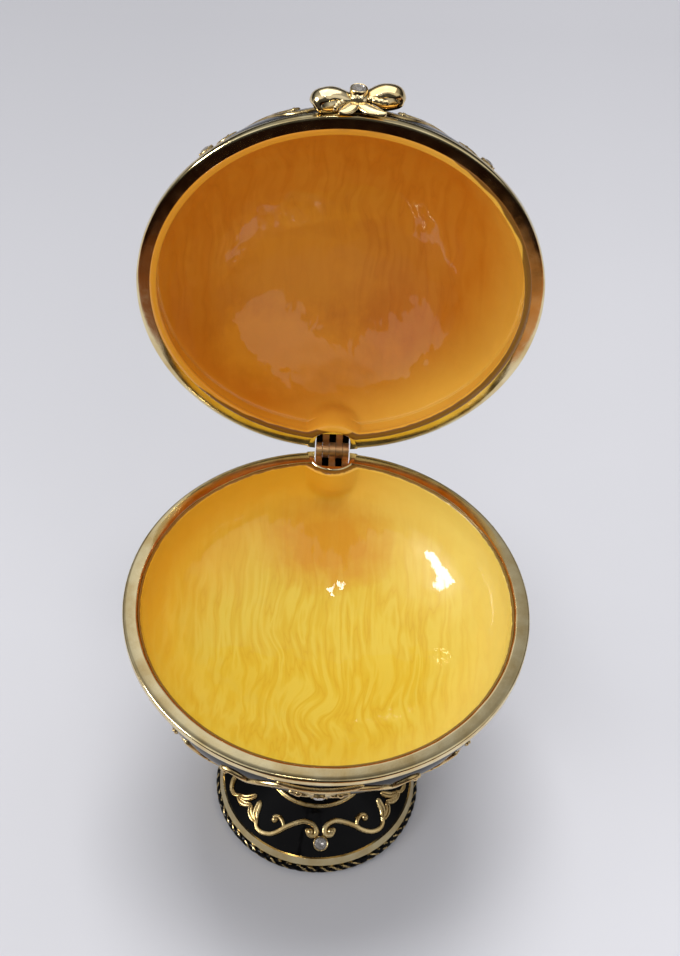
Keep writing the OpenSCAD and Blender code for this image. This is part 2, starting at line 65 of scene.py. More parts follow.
def revolve(path, angles, warp=None):
    # turns an outline round the Z axis; a point with no radius becomes a pole
    n = len(angles)
    verts, faces, rows = [], [], []
    for r, z in path:
        first = len(verts)
        if r < 1e-6:
            rows.append([first])
            verts.append((0, 0, z))
        else:
            rows.append(list(range(first, first + n)))
            verts.extend((r * cos(a), r * sin(a), z) for a in angles)
    closed = [(rows[-1], rows[0])] if len(rows[0]) > 1 else []
    for a, b in list(zip(rows, rows[1:])) + closed:
        for k in range(n):
            j = (k + 1) % n
            if len(a) == 1:
                faces.append((a[0], b[k], b[j]))
            elif len(b) == 1:
                faces.append((a[k], b[0], a[j]))
            else:
                faces.append((a[k], b[k], b[j], a[j]))
    verts = np.array(verts, float)
    return (warp(verts, rows) if warp else verts), faces


def addPart(verts, faces, part, at, turn):
    # joins a part to a piece, turned and set at a point
    first = len(verts)
    verts.extend(tuple(at + turn @ Vector(p)) for p in part[0])
    faces.extend(tuple(first + i for i in face) for face in part[1])


def skinSections(faces, first, count, size):
    # sides and end caps over a run of sections
    for i in range(count - 1):
        a, b = first + i * size, first + (i + 1) * size
        for k in range(size):
            j = (k + 1) % size
            faces.append((a + k, a + j, b + j, b + k))
    faces.append(tuple(first + k for k in range(size)))
    faces.append(tuple(first + (count - 1) * size + k for k in reversed(range(size))))


def newObject(name, data):
    obj = bpy.data.objects.new(name, data)
    bpy.context.scene.collection.objects.link(obj)
    return obj


def makeObject(name, verts, faces, sharp=None):
    mesh = bpy.data.meshes.new(name)
    mesh.from_pydata([tuple(v) for v in np.asarray(verts) * mm], [], faces)
    bm = bmesh.new()
    bm.from_mesh(mesh)
    bmesh.ops.recalc_face_normals(bm, faces=bm.faces)
    bm.to_mesh(mesh)
    bm.free()
    mesh.shade_smooth()
    if sharp is not None:
        mesh.set_sharp_from_angle(angle=radians(sharp))
    return newObject(name, mesh)


def carve(obj, cutter, operation):
    # a boolean, applied at once
    step = obj.modifiers.new("cut", "BOOLEAN")
    step.operation = operation
    step.solver = "EXACT"
    step.object = cutter
    bpy.context.view_layer.update()
    result = bpy.data.meshes.new_from_object(obj.evaluated_get(bpy.context.evaluated_depsgraph_get()))
    obj.modifiers.clear()
    obj.data = result
    bpy.data.objects.remove(cutter)


def dress(obj, *materials):
    obj.data.materials.clear()
    for material in materials:
        obj.data.materials.append(material)


def twoTone(obj, firstTone):
    # faces marked true take the first finish, the others the second
    for poly, isFirst in zip(obj.data.polygons, firstTone):
        poly.material_index = 0 if isFirst else 1


def settle(obj, body, slot, node, *materials):
    # puts a finished piece on its body; the lid's pieces are made lying closed
    if body == "lid":
        obj.data.transform(lidPlace)
    dress(obj, *materials)
    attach(obj, body)
    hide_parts(node)
    return obj


# materials
socketNames = dict(
    color="Base Color", metal="Metallic", rough="Roughness", coat="Coat Weight",
    coatRough="Coat Roughness", ior="IOR", glass="Transmission Weight", specular="Specular IOR Level",
)


def feed(node, **inputs):
    # sets or links a node's inputs, by number (i0), by a short name or by their own name
    for key, value in inputs.items():
        byNumber = key[0] == "i" and key[1:].isdigit()
        socket = node.inputs[int(key[1:]) if byNumber else socketNames.get(key, key)]
        if isinstance(value, bpy.types.NodeSocket):
            node.id_data.links.new(value, socket)
        else:
            socket.default_value = value


treeAtHand = []


def startTree(owner):
    # nodes are added to the tree that was started last
    owner.use_nodes = True
    treeAtHand[:] = [owner.node_tree]


def newMaterial(name, **sockets):
    mat = bpy.data.materials.new(name)
    startTree(mat)
    shader = mat.node_tree.nodes["Principled BSDF"]
    feed(shader, **sockets)
    return mat, shader


def addNode(kind, settings=None, **inputs):
    node = treeAtHand[0].nodes.new("ShaderNode" + kind)
    for key, value in (settings or {}).items():
        setattr(node, key, value)
    feed(node, **inputs)
    return node


def math2(operation, a, b=0.0, clamp=False):
    return addNode("Math", dict(operation=operation, use_clamp=clamp), i0=a, i1=b).outputs[0]


def times(a, b, clamp=False):
    return math2("MULTIPLY", a, b, clamp)


def plus(a, b):
    return math2("ADD", a, b)


def vector2(operation, a, **inputs):
    # the first output is a vector, the second a number
    return addNode("VectorMath", dict(operation=operation), i0=a, **inputs).outputs


def parts(vector):
    return addNode("SeparateXYZ", Vector=vector).outputs


def lengthXY(x, y):
    return math2("SQRT", plus(times(x, x), times(y, y)))


def noiseOf(vector, scale, detail=3.0, rough=0.5, warp=0.0, output="Fac"):
    return addNode("TexNoise", Vector=vector, Scale=scale, Detail=detail, Roughness=rough,
                   Distortion=warp).outputs[output]


def unevenOf(share, *grain):
    # noise about zero
    return times(math2("SUBTRACT", noiseOf(*grain), 0.5), share)


def stretched(vector, x, y, z):
    return addNode("Mapping", Vector=vector, Scale=(x, y, z)).outputs[0]


def rampOf(value, stops):
    node = addNode("ValToRGB", Fac=value)
    bar = node.color_ramp
    while len(bar.elements) < len(stops):
        bar.elements.new(0.5)
    for element, (at, color) in zip(bar.elements, stops):
        element.position = at
        element.color = color
    return node.outputs["Color"]


def rangeOf(value, low, high, toLow=0.0, toHigh=1.0):
    return addNode("MapRange", i0=value, i1=low, i2=high, i3=toLow, i4=toHigh).outputs[0]


def mixValue(factor, a, b):
    return addNode("Mix", i0=factor, i2=a, i3=b).outputs[0]


def mixColor(factor, a, b):
    return addNode("Mix", dict(data_type="RGBA"), i0=factor, i6=a, i7=b).outputs[2]


def bumpOf(shader, height, strength, depth):
    normal = addNode("Bump", Strength=strength, Distance=depth, Height=height).outputs[0]
    feed(shader, **{"Normal": normal, "Coat Normal": normal})


def objectCoords():
    return addNode("TexCoord").outputs["Object"]


# noise as scale, detail and roughness
metalDetail = dict(
    cloud=(260, 4, 0.55), polish=(520, 5, 0.6), fine=(3200, 3, 0.6), fineShare=0.25,
    broad=(420, 2, 0.5), deep=0.0002, recessShadeTone=lin(58, 32, 12), recessShadeShare=0.85,
)


def goldFinish(name, bright, deep, roughLow, roughHigh, grain, recess=None):
    # plated metal: cloudy colour, uneven polish, fine grain, and painted shade that darkens the recesses
    look = metalDetail
    mat, shader = newMaterial(name, metal=1.0)
    at = objectCoords()
    color = rampOf(noiseOf(at, *look["cloud"]), [(0.32, deep), (0.62, bright)])
    if recess:
        # painted shade: darker where the AO node finds a point closed in
        clear = addNode("AmbientOcclusion", dict(samples=8), Distance=recess * mm).outputs["AO"]
        color = mixColor(rangeOf(clear, 0.25, 0.75, look["recessShadeShare"], 0.0), color, look["recessShadeTone"])
    rough = rangeOf(noiseOf(at, *look["polish"]), 0.3, 0.7, roughLow, roughHigh)
    feed(shader, color=color, rough=rough)
    fine = times(noiseOf(at, *look["fine"]), look["fineShare"])
    bumpOf(shader, plus(fine, noiseOf(at, *look["broad"])), grain, look["deep"])
    return mat


goldLip = goldFinish("plated lip", lin(236, 219, 172), lin(214, 188, 132), 0.07, 0.16, 0.05)
goldTrim = goldFinish("plated relief", lin(228, 204, 150), lin(190, 158, 100), 0.18, 0.34, 0.14, 0.5)
goldBow = goldFinish("polished bow", lin(246, 226, 178), lin(226, 194, 132), 0.06, 0.14, 0.08, 1.1)
hingeBronze = goldFinish("hinge bronze", lin(238, 194, 140), lin(206, 156, 104), 0.32, 0.5, 0.25)
steelRod = goldFinish("rod steel", lin(196, 196, 194), lin(160, 160, 160), 0.3, 0.42, 0.1)

blackDetail = dict(
    tones=[(0.3, lin(4, 4, 5)), (0.7, lin(10, 9, 10))], cloud=(300, 4, 0.6), wave=(380, 2, 0.5),
    waveShare=0.1, waveDeep=0.0004,
)


def blackFinish(name, rough, specular):
    # black enamel: deep gloss with slow waves and a faint cloud
    look = blackDetail
    mat, shader = newMaterial(name, rough=rough, specular=specular)
    at = objectCoords()
    feed(shader, color=rampOf(noiseOf(at, *look["cloud"]), look["tones"]))
    bumpOf(shader, noiseOf(at, *look["wave"]), look["waveShare"], look["waveDeep"])
    return mat


blackEnamel = blackFinish("black enamel", 0.08, 0.1)
lidEnamel = blackFinish("lid black enamel", 0.12, 0.08)
# black lacquer; on the hinge pin it is also the painted shade in the knuckle gaps
blackLacquerAndGapShade = blackFinish("black lacquer", 0.14, 0.14)


def bowlCoords():
    # z is the depth below the bowl's land
    return addNode("Mapping", Vector=objectCoords(), Scale=(1, 1, -1),
                   Location=(0, 0, box["rimZ"] * mm)).outputs[0]


def lidCoords():
    # z is the depth above the land of the closed lid
    angles = (radians(box["openDeg"]), 0, 0)
    return addNode("Mapping", Vector=objectCoords(), Rotation=angles,
                   Location=lidPlace.inverted().translation).outputs[0]


def swirl(vector, centre, size, turn):
    # turns the strokes round a point, less and less further out
    centre = tuple(v * mm for v in centre)
    share = math2("DIVIDE", vector2("DISTANCE", vector, i1=centre)[1], size * mm)
    fade = math2("EXPONENT", times(times(share, share), -1.0))
    return addNode("VectorRotate", dict(rotation_type="Z_AXIS"), Vector=vector, Center=centre,
                   Angle=times(fade, turn)).outputs[0]


enamels = {
    "yellow enamel": dict(
        coords=bowlCoords, lineScale=430, lineLong=0.13, sway=0.0022, veins=4.4,
        tones=[(0.0, lin(217, 178, 51)), (0.15, lin(221, 186, 56)), (0.45, lin(223, 191, 61)),
               (0.85, lin(227, 200, 76))],
        deep=lin(221, 184, 46), deepShare=0.45,
        # painted light and shade on the walls: tone, way it lies from the middle, depth it reaches to in mm,
        # share
        lightShadeSides=[(lin(232, 165, 40), (-0.7, 0.9), 14.0, 0.95), (lin(249, 226, 122), (1.0, -0.1), 15.0, 0.9)],
        # painted light and shade in patches: tone, middle, half sizes in mm, share
        lightShadePatches=[(lin(212, 140, 26), (0, 20, 11), (9.0, 7.0, 7.0), 0.75)],
        # painted shade line at the gold: depths in mm, and its share inside the lip's edge
        seamShade=(0.24, 0.34), seamIn=1.0,
        # middle and size in mm, turn
        swirls=[((-1, -6, 18), 4.5, 0.9), ((-9, 4, 17), 5, -0.5), ((9, -4, 17), 5, 0.4)],
    ),
    "amber enamel": dict(
        coords=lidCoords, lineScale=360, lineLong=0.14, sway=0.0024, veins=4.0,
        tones=[(0.0, lin(207, 125, 27)), (0.12, lin(214, 133, 30)), (0.45, lin(216, 136, 32)),
               (0.8, lin(221, 144, 38))],
        deep=lin(211, 127, 24), deepShare=0.5,
        # painted light and shade on the walls, and in patches below, as in the bowl
        lightShadeSides=[(lin(204, 108, 16), (0.15, -1.0), 32.0, 0.75), (lin(202, 116, 20), (0.25, 1.0), 26.0, 0.85),
               (lin(228, 156, 42), (0.0, 0.0), 4.0, 0.7), (lin(243, 186, 70), (1.0, 0.25), 13.0, 0.95)],
        lightShadePatches=[(lin(236, 160, 38), (-7, 9, 19), (12.0, 10.0, 9.0), 0.7),
               (lin(240, 161, 38), (-9, 19, 12), (16.0, 6.0, 6.5), 0.75)],
        seamShade=(0.1, 0.2), seamIn=0.0, swirls=[((3, 2, 22), 5, 0.5), ((-8, -5, 20), 5, -0.4)],
    ),
}
# what both enamels share; noise as scale, detail and roughness
brushwork = dict(
    swayNoise=(120, 1.6, 0.5), strokeNoise=(1.0, 3, 0.5, 0.25), ringNoise=(1.0, 3, 0.5, 0.3),
    ringTurns=2.6, ringsTo=7.0, cloudNoise=(75, 2, 0.5), blotNoise=(260, 3, 0.6), blotShare=0.9,
    sideBlot=0.25, halfWide=27.0, seamNoise=(700, 3, 0.6), seamRagged=0.3, seamFrom=0.15,
    seamShadeTone=lin(92, 46, 10), seamShadeShare=0.85, lipEdge=(27.75, 27.9), strokeBump=0.03, strokeDeep=0.0002,
)


def enamelInside(name):
    # brushed enamel: strokes along the floor, rings near the rim, clear gloss over them; painted light and
    # shade by side and in patches
    look, brush = enamels[name], brushwork
    mat, shader = newMaterial(name, rough=0.3, specular=0.2, coat=0.8, coatRough=0.015)
    at = look["coords"]()
    bent = at
    for one in look["swirls"]:
        bent = swirl(bent, *one)
    sway = noiseOf(at, *brush["swayNoise"], output="Color")
    swayed = vector2("MULTIPLY_ADD", sway, i1=(look["sway"],) * 3, i2=bent)[0]
    fine = look["lineScale"]
    along = fine * look["lineLong"]
    strokes = noiseOf(stretched(swayed, fine, along, along), *brush["strokeNoise"])
    x, y, z = parts(swayed)
    radius = lengthXY(x, y)
    turned = times(math2("ARCTAN2", y, x), brush["ringTurns"])
    ringWay = addNode("CombineXYZ", X=turned, Y=times(radius, fine), Z=times(z, fine)).outputs[0]
    x, y, depth = parts(at)
    nearRim = rangeOf(depth, brush["ringsTo"] * mm, 0.0)
    lines = mixValue(nearRim, strokes, noiseOf(ringWay, *brush["ringNoise"]))
    lines = times(math2("PINGPONG", times(lines, look["veins"]), 0.5), 2.0)
    body = rampOf(lines, look["tones"])
    cloud = rangeOf(noiseOf(swayed, *brush["cloudNoise"]), 0.42, 0.68, 0.0, look["deepShare"])
    body = mixColor(cloud, body, look["deep"])
    blot = unevenOf(brush["blotShare"], swayed, *brush["blotNoise"])
    # painted light and shade: a wall lighter or darker by the way it lies to the lamps
    for tone, way, reach, share in look["lightShadeSides"]:
        wayX, wayY = (v / brush["halfWide"] / mm for v in way)
        lightLean = plus(times(x, wayX), times(y, wayY))
        lightLean = rangeOf(lightLean, -0.2, 0.75) if any(way) else 1.0
        high = rangeOf(depth, reach * mm, reach * 0.3 * mm)
        high = plus(high, times(blot, brush["sideBlot"]))
        body = mixColor(times(times(high, lightLean), share, True), body, tone)
    # painted shade and dark reflection in the bowl's patch at the back, painted light in the lid's lighter
    # middle and lower part
    for tone, middle, size, share in look["lightShadePatches"]:
        off = vector2("SUBTRACT", at, i1=tuple(v * mm for v in middle))[0]
        off = vector2("LENGTH", stretched(off, *(1 / v / mm for v in size)))[1]
        body = mixColor(rangeOf(plus(off, blot), 1.3, 0.55, 0.0, share), body, tone)
    # painted shade: a thin dark line in the groove where the enamel meets the gold
    ragged = plus(depth, times(noiseOf(at, *brush["seamNoise"]), brush["seamRagged"] * mm))
    low, high = ((v + brush["seamFrom"]) * mm for v in look["seamShade"])
    inner, outer = (v * mm for v in brush["lipEdge"])
    seamShade = times(rangeOf(ragged, low, high, brush["seamShadeShare"], 0.0),
                 rangeOf(radius, inner, outer, look["seamIn"], 1.0))
    feed(shader, color=mixColor(seamShade, body, brush["seamShadeTone"]))
    bumpOf(shader, lines, brush["strokeBump"], brush["strokeDeep"])
    return mat


yellowEnamel = enamelInside("yellow enamel")
amberEnamel = enamelInside("amber enamel")
crystalGlass = newMaterial("cut crystal", color=lin(214, 208, 200), rough=0.02, glass=0.75, ior=1.62)[0]
crystalFoil = newMaterial("crystal foil", color=lin(232, 234, 238), metal=1.0, rough=0.06)[0]
print("materials made")

# camera at the photograph's view, for a picture of 680 by 956
cameraView = dict(
    at=(-2.46, -149.18, 253.63), angles=(-1.26, 49.33, 3.45), focal=1700.0, longSide=956.0, sensor=36.0,
    clip=(0.005, 20.0),
)


def makeCamera():
    az, el, roll = map(radians, cameraView["angles"])
    back = Vector((sin(az) * cos(el), -cos(az) * cos(el), sin(el)))
    right = Vector((0, 0, 1)).cross(back).normalized()
    up = back.cross(right)
    side = cos(roll) * right + sin(roll) * up
    top = -sin(roll) * right + cos(roll) * up
    data = bpy.data.cameras.new("camera")
    data.sensor_width = cameraView["sensor"]
    data.lens = cameraView["sensor"] * cameraView["focal"] / cameraView["longSide"]
    data.clip_start, data.clip_end = cameraView["clip"]
    obj = newObject("camera", data)
    obj.matrix_world = (Matrix.Translation(Vector(cameraView["at"]) * mm)
                        @ Matrix((side, top, back)).transposed().to_4x4())
    bpy.context.scene.camera = obj


makeCamera()
print("camera placed")

# floor, darker further back and lighter to the right as painted shade and light, and a dark card in front that
# only mirrors in the gold show; spans in m, as from and to
floorLook = dict(
    size=6.0, tone=lin(216, 216, 221), cloudTone=0.96, cloud=(9, 3, 0.5), farShadeTone=lin(190, 190, 195),
    farShadeSpan=(0.03, 0.22), rightLightLift=1.10, rightLightSpan=(-0.04, 0.06),
    cardFrom=84.0, cardNear=(lin(118, 71, 41), lin(188, 134, 86)), cardFarTone=lin(26, 13, 8),
    cardSide=(-0.03, 0.04), cardFar=(-0.115, -0.15), cardNoise=(60, 3, 0.6), cardRagged=0.05,
)


def makeFloor():
    look = floorLook
    s = look["size"] / 2 / mm

    def sheet(name, to, z):
        return makeObject(name, [(-s, -s, z), (s, -s, z), (s, to, z), (-s, to, z)], [(0, 1, 2, 3)])

    floor = sheet("floor", s, 0)
    mat, shader = newMaterial("pale floor", rough=0.65, specular=0.2)
    at = objectCoords()
    x, y, z = parts(at)
    darker = tuple(look["cloudTone"] * v for v in look["tone"][:3]) + (1.0,)
    near = rampOf(noiseOf(at, *look["cloud"]), [(0.35, darker), (0.65, look["tone"])])
    # painted shade further back, and painted light to the right
    toned = mixColor(rangeOf(y, *look["farShadeSpan"]), near, look["farShadeTone"])
    lift = rangeOf(x, *look["rightLightSpan"], 1.0, look["rightLightLift"])
    feed(shader, color=vector2("SCALE", toned, Scale=lift)[0])
    dress(floor, mat)
    # a dark sheet for the dark room in front, seen only in reflections: a painted dark reflection in the gold,
    # reddish brown to bronze near, darker further out
    card = sheet("darkCard", -look["cardFrom"], 1)
    mat, shader = newMaterial("dark card", rough=0.9, specular=0.0)
    at = objectCoords()
    x, y, z = parts(at)
    near = mixColor(rangeOf(x, *look["cardSide"]), *look["cardNear"])
    ragged = plus(y, unevenOf(look["cardRagged"], at, *look["cardNoise"]))
    feed(shader, color=mixColor(rangeOf(ragged, *look["cardFar"]), near, look["cardFarTone"]))
    dress(card, mat)
    for rays in ("camera", "diffuse", "shadow", "transmission"):
        setattr(card, "visible_" + rays, False)


# the sky by height, and what gloss mirrors of it; spans as from and to
skyLook = dict(
    sky=[(0.0, 0.56), (0.35, 0.43), (0.6, 0.35), (0.8, 0.44), (1.0, 0.56)], frontWall=2.0,
    frontSpan=(-0.3, -0.9),
    mirrorSky=[(0.0, 0.4), (0.3, 0.62), (0.75, 0.78), (0.9, 0.62), (0.97, 0.25)],
    # behind the box, from left to right
    mirrorBack=[(0.0, 0.85), (0.30, 0.9), (0.42, 1.25), (0.52, 1.0), (0.62, 0.6), (0.7, 0.5)],
    backSpan=(-0.3, 0.3), backFrom=(0.42, 0.5), backWide=(0.45, 0.3), elseLevel=0.45,
    elseSpan=(-0.1, 0.2), lowBack=0.15, lowHeight=(0.25, 0.5), lowSpan=(0.2, 0.05),
    # dark blinds in front, half width and height of each
    blinds=[(0.70, 0.54), (0.54, 0.68), (0.40, 0.80), (0.27, 0.895), (1.1, 0.28)], blindEdge=0.012,
    blindsLeft=0.08, blindSpan=(-0.02, -0.08), shade=0.10, uneven=(5, 5, 0.65), unevenShare=0.2,
    glow=0.12, glowSpan=(0.78, 0.95), blue=1.02,
)


def makeWorld():
    look = skyLook
    world = bpy.data.worlds.new("studio")
    bpy.context.scene.world = world
    startTree(world)
    way = addNode("TexCoord").outputs["Generated"]
    x, y, z = parts(way)

    def levels(value, key, blue):
        return rampOf(value, [(at, (v, v, v * blue, 1.0)) for at, v in look[key]])

    uneven = unevenOf(look["unevenShare"], way, *look["uneven"])
    aside = math2("ABSOLUTE", plus(math2("DIVIDE", x, lengthXY(x, y)), look["blindsLeft"]))
    aside = plus(aside, uneven)
    high = plus(z, uneven)
    dark, edge = 0.0, look["blindEdge"]
    for half, top in look["blinds"]:
        blind = times(rangeOf(aside, half, half - edge), rangeOf(high, top, top - edge))
        dark = math2("MAXIMUM", dark, blind)
    dark = times(dark, rangeOf(y, *look["blindSpan"]))
    # a glow round the window
    facing = vector2("DOT_PRODUCT", way, i1=Vector(lamps["window"][0]).normalized())[1]
    glow = rangeOf(plus(facing, uneven), *look["glowSpan"], 0.0, look["glow"])
    behind = times(rangeOf(y, *look["backFrom"]), rangeOf(aside, *look["backWide"]))
    lands = levels(rangeOf(x, *look["backSpan"]), "mirrorBack", 1.0)
    elsewhere = rangeOf(y, *look["elseSpan"], 1.0, look["elseLevel"])
    low = math2("MAXIMUM", rangeOf(z, *look["lowHeight"], look["lowBack"], 1.0),
                rangeOf(y, *look["lowSpan"]))
    behind = times(mixValue(behind, elsewhere, lands), low)
    seen = rangeOf(dark, 0.0, 1.0, plus(behind, glow), look["shade"])
    plain = rangeOf(y, *look["frontSpan"], 1.0, look["frontWall"])
    glossy = addNode("LightPath").outputs["Is Glossy Ray"]
    tone = mixColor(glossy, levels(z, "sky", look["blue"]), levels(z, "mirrorSky", look["blue"]))
    feed(world.node_tree.nodes["Background"], Color=tone, Strength=rangeOf(glossy, 0.0, 1.0, plain, seen))


# way, distance and size in m, watts, and the rays that don't see the lamp
lamps = dict(
    softbox=((-0.03, 0.14, 1.0), 1.0, (0.42, 0.42), 5.8, "glossy"),
    fill=((-0.86, -0.35, 0.5), 0.9, (0.4, 0.4), 1.4, "glossy"),
    window=((-0.86, -0.18, 0.50), 0.9, (0.36, 0.20), 5.2, "diffuse"),
    ceiling=((-0.09, -0.21, 0.977), 1.3, (0.15, 0.045), 0.5, "diffuse"),
    glint=((0.0, 0.35, 0.93), 1.0, (1.2, 1.2), 7.0, "diffuse"),
)
lampTarget = Vector((0, 0, 45)) * mm


def areaLamp(name):
    way, far, size, watts, hidden = lamps[name]
    data = bpy.data.lights.new(name, "AREA")
    data.shape = "RECTANGLE"
    data.size, data.size_y = size
    data.energy = watts
    obj = newObject(name, data)
    obj.location = lampTarget + Vector(way).normalized() * far
    obj.rotation_euler = (lampTarget - obj.location).to_track_quat("-Z", "Y").to_euler()
    setattr(obj, "visible_" + hidden, False)
    return obj


def linkLamps(name, lampNames, objects, state):
    # lamps that shine only on these pieces, or on all but these
    group = bpy.data.collections.new(name)
    for i, obj in enumerate(objects):
        group.objects.link(obj)
        group.collection_objects[i].light_linking.link_state = state
    for lamp in lampNames:
        lit[lamp].light_linking.receiver_collection = group


makeFloor()
makeWorld()
lit = {name: areaLamp(name) for name in lamps}
bpy.context.scene.view_settings.view_transform = "Standard"
print("studio lit")


# outlines that the CAD model uses too

def crown(a, b, s):
    # radius of a dome's crown, and the angle where its shoulder ends
    c = ((a - s) ** 2 + b * b - s * s) / (2 * (b - s))
    return c, atan2(c - b, a - s)


def domeAt(a, b, s, down):
    # radius, depth and normal angle at a distance along a dome from its edge
    c, t = crown(a, b, s)
    edge = s * t
    if down < edge:
        n = down / s
        return a - s + s * cos(n), s * sin(n), n
    n = t + (down - edge) / c
    return c * cos(n), b - c + c * sin(n), n


def domePath(a, b, s, steps, start):
    # radius and depth from the edge to the pole, closer together at the edge
    c, t = crown(a, b, s)
    whole = s * t + c * (pi / 2 - t)
    path = [domeAt(a, b, s, start + (whole - start) * (i / steps) ** 1.15)[:2] for i in range(steps)]
    return path + [(0.0, b)]


def ballPath(ball, centre, bend, steps):
    # radius and height of a ball, from its pole to the given angle
    return [(ball * sin(bend * i / steps), centre + ball * cos(bend * i / steps)) for i in range(steps + 1)]


def drum(radius, low, high):
    return [(0.0, low), (radius, low), (radius, high), (0.0, high)]


def backwardAngles(count):
    # angles that lie closer together at the hinge
    t = np.arange(count) / count * 2 * np.pi
    return t - 0.72 * np.sin(t) + np.pi / 2


# enamel linings
lining = dict(
    turns=420, steepAt=27.3, waveSizes=(6.0, 2.6, 1.2), brush=0.010, brushSize=1.1, brushLong=0.16,
    hump=4.95, humpFlat=3.4, humpEnd=8.0, humpBlend=1.3, thick=0.42,
)


def humpRadius(x, y, size):
    # distance from the box's axis to the near side of a round hump at the hinge
    c = box["pinY"]
    r = np.hypot(x, y)
    ux, uy = x / r, y / r
    room = size ** 2 - (c * ux) ** 2
    near = c * uy - np.sqrt(np.maximum(room, 0))
    return np.where((room > 0) & (uy > 0), near, 99.0)


def softMin(a, b, k):
    h = np.clip(0.5 + 0.5 * (b - a) / k, 0, 1)
    return b + (a - b) * h - k * h * (1 - h)


def turnLining(inside, own, outside):
    # waves and brush marks on the inside, and the hump over the hinge boss
    look, count, seed, humps = lining, len(inside), own["seed"], own["edgeHumps"]

    def warp(v, rows):
        inner = np.array([i for row in rows[:count] for i in row])
        p = v[inner]
        waves = zip(look["waveSizes"], own["waves"])
        push = sum(ripple(p, size, seed + size) * deep for size, deep in waves)
        brushed = p * np.array([1, look["brushLong"], look["brushLong"]])
        push = push + ripple(brushed, look["brushSize"], seed + 2) * look["brush"]
        r = np.maximum(np.hypot(p[:, 0], p[:, 1]), 1e-6)
        steep = np.clip(r / look["steepAt"], 0, 1) ** 3
        v[inner, 2] -= push * (1 - steep)
        v[inner, :2] -= (push * steep / r)[:, None] * p[:, :2]
        # the hump is full down to its flat depth, then rounded off to nothing
        t = np.clip((v[:, 2] - look["humpFlat"]) / (look["humpEnd"] - look["humpFlat"]), 0, 1)
        size = look["hump"] * np.sqrt(1 - t * t) + 1e-3
        for row, hump in zip(rows[count:], humps):
            size[row] = hump
        for row in rows[count + len(humps):]:
            size[row] -= look["thick"]
        live = np.hypot(v[:, 0], v[:, 1]) > 1e-3
        x = np.where(live, v[:, 0], 1.0)
        y = np.where(live, v[:, 1], 0.0)
        far = np.hypot(x, y)
        near = humpRadius(x, y, np.maximum(size, 1e-3))
        new = np.minimum(softMin(far, near, look["humpBlend"]), far)
        new = np.where(near > 60, far, new)
        v[:, :2] *= np.where(live, new / far, 1.0)[:, None]
        return v
    return revolve(inside + own["edge"] + outside, backwardAngles(look["turns"]), warp)


bowlLining = dict(
    inside=(27.3, 18.5, 13.0, 96, 0.45), outside=(27.69, 18.89, 13.39, 40, 0.5),
    edge=[(27.33, 0.32), (27.42, 0.21), (27.56, 0.16), (27.68, 0.18)], edgeHumps=(4.75, 4.5, 4.1, 3.62),
    waves=(0.05, 0.05, 0.020), seed=11,
)


def makeBowlLining():
    look = bowlLining
    verts, faces = turnLining(domePath(*look["inside"])[::-1], look, domePath(*look["outside"]))
    verts[:, 2] = box["rimZ"] - verts[:, 2]
    settle(makeObject("bowlEnamelLining", verts, faces), "base", "yellow_enamel", "bowl_lining", yellowEnamel)


lidLining = dict(
    inside=(28.44, -5.94, asin(27.0 / 28.44), 96), outside=(28.83, -5.94, asin(27.3 / 28.83), 40),
    collar=[(27.0, 3.05), (27.12, 2.92), (27.26, 2.9), (27.29, 2.7), (27.3, 2.3), (27.3, 1.8), (27.29, 1.4),
            (27.24, 1.1), (27.12, 0.85)],
    edge=[(27.03, 0.6), (27.0, 0.3), (27.08, 0.06), (27.32, -0.06), (27.66, -0.08), (27.94, -0.04),
          (28.06, 0.04)],
    backEdge=[(27.69, 0.6), (27.69, 3.1)], edgeHumps=(4.9, 4.85, 4.7, 4.4, 4.05, 3.75, 3.6),
    waves=(0.06, 0.085, 0.026), seed=23,
)


def makeLidLining():
    look = lidLining
    inside = ballPath(*look["inside"])[:-1] + look["collar"]
    outside = look["backEdge"] + ballPath(*look["outside"])[::-1]
    obj = makeObject("lidEnamelLining", *turnLining(inside, look, outside))
    settle(obj, "lid", "amber_enamel", "lid_lining", amberEnamel)
    # the window and the ceiling are out of the lid's sight
    linkLamps("lampSpares", ["window", "ceiling"], [obj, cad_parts["foot_enamel"]], "EXCLUDE")


makeBowlLining()
makeLidLining()
print("linings made")

# castings: radius and depth of the lip's outline, dome sizes, the hinge boss and its pocket
castings = dict(
    lip=[(27.7, 1.2), (27.7, 0.5), (27.71, 0.2), (27.76, 0.06), (27.88, 0.01), (28.15, 0.0), (28.6, 0.0),
         (29.1, 0.0), (29.5, 0.01), (29.75, 0.05), (29.92, 0.16), (30.0, 0.34), (30.0, 0.75), (30.0, 1.16),
         (29.92, 1.36), (29.72, 1.48), (29.4, 1.5), (28.9, 1.5), (28.5, 1.51)],
    bowlIn=(27.7, 18.9, 13.4, 30, 1.3), bowlOut=(28.5, 19.5, 14.2, 30, 0.4),
    lidIn=(28.84, -5.94, asin(27.69 / 28.84), 30), lidOut=(28.5, 22.4, 9.5, 30, 0.4),
    turns=480, edgeWobble=0.10, edgeSize=3.2, edgeIn=28.3, wobble=0.03, wobbleSize=7.0,
    rimFrom=29.5, rimPull=0.05, dents=0.035, dentSize=4.5, dentDeep=0.6,
    boss=[(0.0, 0.0), (3.86, 0.0), (4.05, 0.12), (4.5, 1.0), (4.58, 4.2), (4.3, 4.4), (0.0, 4.4)],
    bossWithin=29.94, pocket=(2.78, 3.3), pocketDeep=2.6, pocketCorner=5, sharp=40,
)


